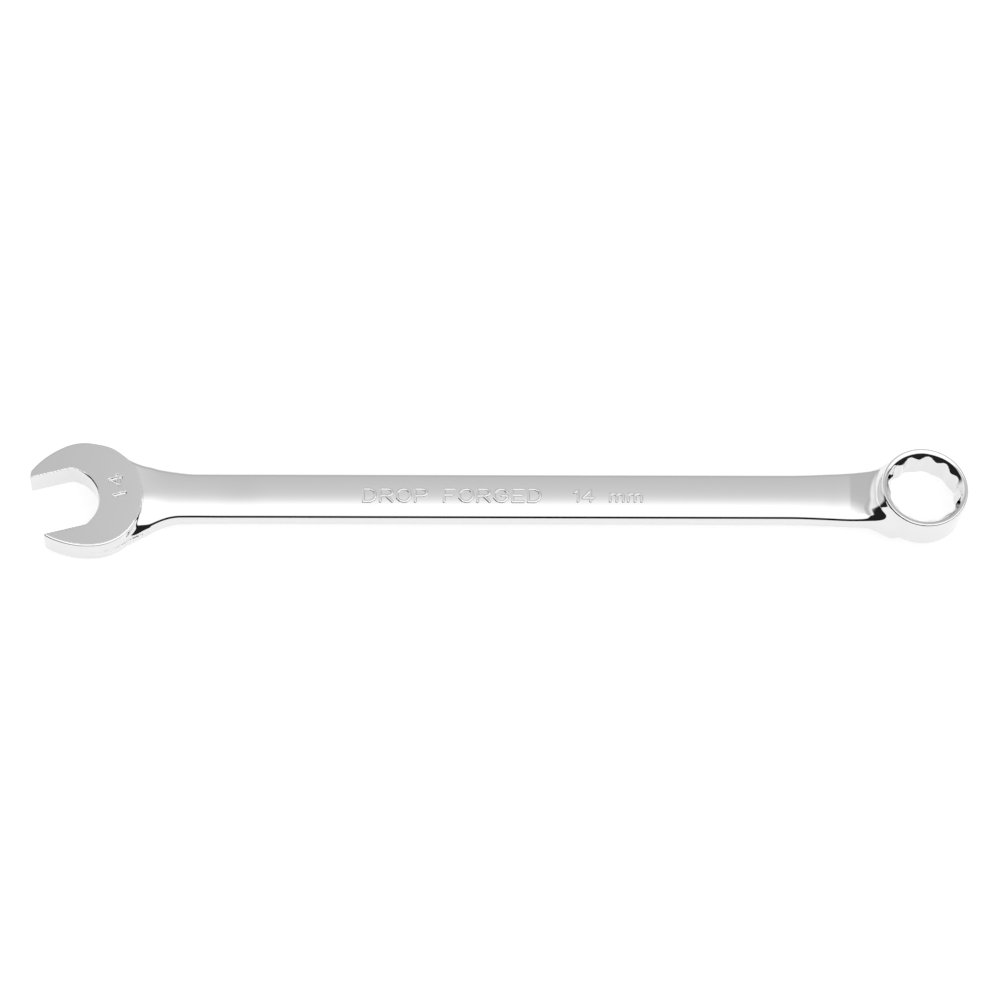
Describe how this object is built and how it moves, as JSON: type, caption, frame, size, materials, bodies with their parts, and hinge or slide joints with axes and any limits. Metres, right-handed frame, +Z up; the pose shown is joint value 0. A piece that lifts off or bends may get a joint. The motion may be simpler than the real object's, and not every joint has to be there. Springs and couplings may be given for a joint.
{
  "type": "combination wrench",
  "caption": "Long slim chrome wrench with an angled open-jaw end and an offset ring end with a 12-point opening, for 14 mm hexagons.",
  "frame": {"origin": "middle of the wrench's bounding box, on the bench it lies on", "axes": "+X along the wrench towards the box end, +Z up out of its broad face, +Y across it"},
  "size_m": [0.2022, 0.0254, 0.0105],
  "materials": {
    "chrome_plate": "full mirror polish with fine polishing marks"
  },
  "bodies": {
    "root": {"open_end_head": "chrome_plate", "open_end_neck": "chrome_plate", "shank": "chrome_plate", "box_end_neck": "chrome_plate", "box_end_ring": "chrome_plate", "raised_lettering": "chrome_plate", "raised_size": "chrome_plate"}
  },
  "joints": []
}
